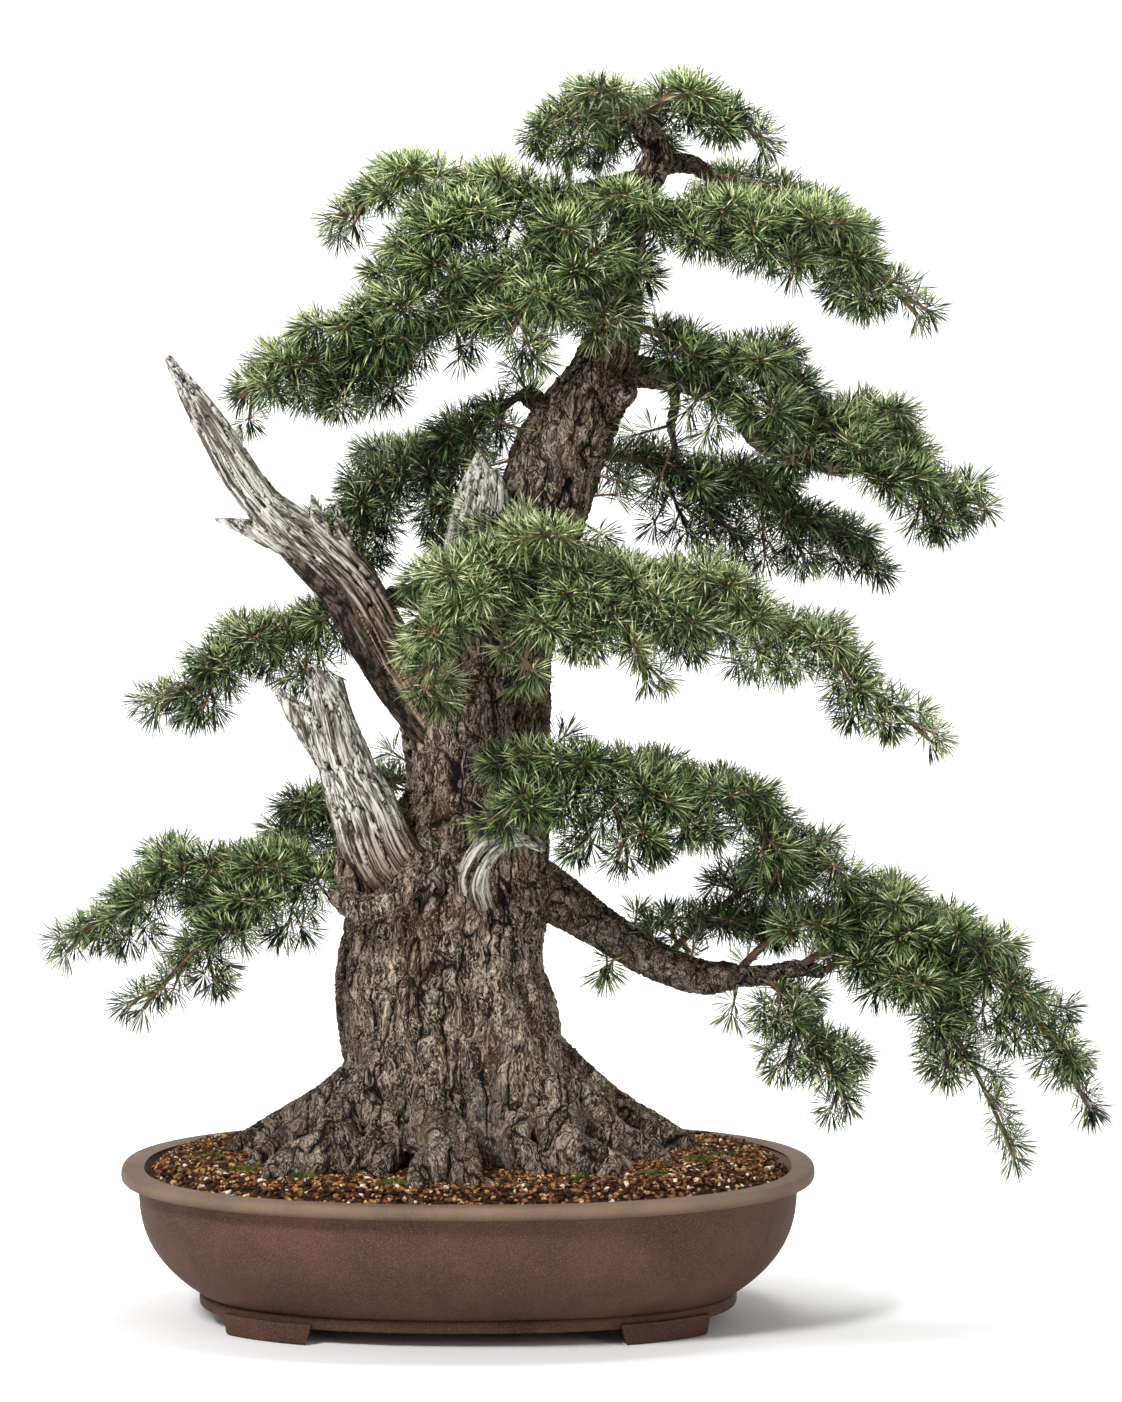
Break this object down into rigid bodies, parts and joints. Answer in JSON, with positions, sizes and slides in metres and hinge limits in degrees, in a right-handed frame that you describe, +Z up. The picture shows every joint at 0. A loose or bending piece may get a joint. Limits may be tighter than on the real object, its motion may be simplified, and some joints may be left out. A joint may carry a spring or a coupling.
{
  "type": "bonsai tree",
  "caption": "Old deodar cedar bonsai with a flared trunk, bare dead limbs and drooping boughs of short needles, in a low oval pot on feet.",
  "frame": {"origin": "bottom centre of the box round the whole plant and its pot, on the floor under the pot's feet", "axes": "+Z up along the tree, +X towards the side of the longest bough, -Y towards the viewer's side"},
  "size_m": [0.8564, 0.407, 1.0069],
  "materials": {
    "stoneware": "unglazed brown stoneware, matt and finely speckled",
    "soil": "loose baked-clay and bark granules, dark brown with tan and white grains",
    "bark": "rough plated grey-brown bark with dark furrows",
    "dead_wood": "weathered bare wood, silver grey with brown and black grain",
    "needles": "sprays of short green needles on orange-brown twigs"
  },
  "bodies": {
    "root": {"bough_arch_right": "bark", "bough_back_low": "bark", "bough_back_mid": "bark", "bough_back_right": "bark", "bough_centre_front": "bark", "bough_left_back": "bark", "bough_left_lower": "bark", "bough_lower_left": "bark", "bough_lower_right": "bark", "bough_lower_right_end": "bark", "bough_mid_left": "bark", "bough_right_low": "bark", "bough_right_mid": "bark", "bough_upper_front": "bark", "bough_upper_left": "bark", "bough_upper_right": "bark", "dead_bough": "dead_wood", "dead_bough_tip": "dead_wood", "dead_spire": "dead_wood", "dead_stub": "dead_wood", "dead_stump": "dead_wood", "foliage_apex_back": "needles", "foliage_apex_left": "needles", "foliage_apex_right": "needles", "foliage_arch_left": "needles", "foliage_arch_low": "needles", "foliage_arch_right": "needles", "foliage_back_high": "needles", "foliage_back_low": "needles", "foliage_back_mid": "needles", "foliage_back_right": "needles", "foliage_crown_front": "needles", "foliage_crown_right": "needles", "foliage_front_hang": "needles", "foliage_front_left": "needles", "foliage_front_right": "needles", "foliage_left_back": "needles", "foliage_left_lower": "needles", "foliage_lower_left": "needles", "foliage_lower_left_hang": "needles", "foliage_lower_right_fall": "needles", "foliage_lower_right_hang": "needles", "foliage_lower_right_inner": "needles", "foliage_lower_right_outer": "needles", "foliage_lower_right_top": "needles", "foliage_mid_centre": "needles", "foliage_mid_left": "needles", "foliage_mid_left_low": "needles", "foliage_mid_left_top": "needles", "foliage_right_low": "needles", "foliage_right_outer": "needles", "foliage_right_outer_top": "needles", "foliage_right_top": "needles", "foliage_upper_left_low": "needles", "foliage_upper_left_top": "needles", "foliage_upper_right_back": "needles", "foliage_upper_right_front": "needles", "pot": "stoneware", "soil": "soil", "trunk": "bark"}
  },
  "joints": []
}
